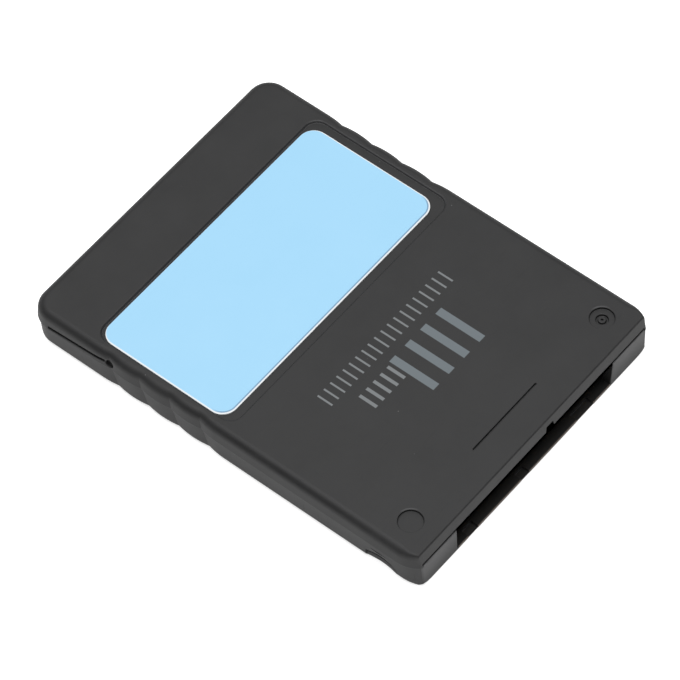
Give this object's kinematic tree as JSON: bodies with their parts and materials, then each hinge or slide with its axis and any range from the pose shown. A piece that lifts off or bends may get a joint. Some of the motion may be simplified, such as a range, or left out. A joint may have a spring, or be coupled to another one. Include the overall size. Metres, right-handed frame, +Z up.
{
  "type": "console memory card",
  "caption": "Flat memory card for a game console: two moulded shells with fluted grip sides, a label in a recess and an open contact slot at one end, with its circuit board inside.",
  "frame": {"origin": "on the underside, in the middle of the card's outline", "axes": "+X across the card to the right with the label up and the contact end towards the viewer, +Y from the contact end to the grip end, +Z up through the label"},
  "size_m": [0.042, 0.056, 0.006],
  "materials": {
    "shell_plastic": "satin moulded",
    "label_film": "smooth printed",
    "board_resin": "solder mask",
    "block_plastic": "plain moulded",
    "contact_gold": "plated",
    "chip_resin": "moulded resin",
    "can_metal": "tinned",
    "ceramic_body": "fired"
  },
  "bodies": {
    "root": {"top_shell": "shell_plastic", "bottom_shell": "shell_plastic", "label": "label_film", "circuit_board": "board_resin", "contact_block": "block_plastic", "controller_chip": "chip_resin", "memory_chip": "chip_resin", "clock_crystal": "can_metal", "regulator": "chip_resin", "bulk_capacitor": "ceramic_body", "contact_1": "contact_gold", "contact_2": "contact_gold", "contact_3": "contact_gold", "contact_4": "contact_gold", "contact_5": "contact_gold", "contact_6": "contact_gold", "contact_7": "contact_gold", "contact_8": "contact_gold", "capacitor_1": "ceramic_body", "capacitor_2": "ceramic_body", "capacitor_3": "ceramic_body", "capacitor_4": "ceramic_body", "resistor_1": "chip_resin", "resistor_2": "chip_resin", "resistor_3": "chip_resin"}
  },
  "joints": []
}
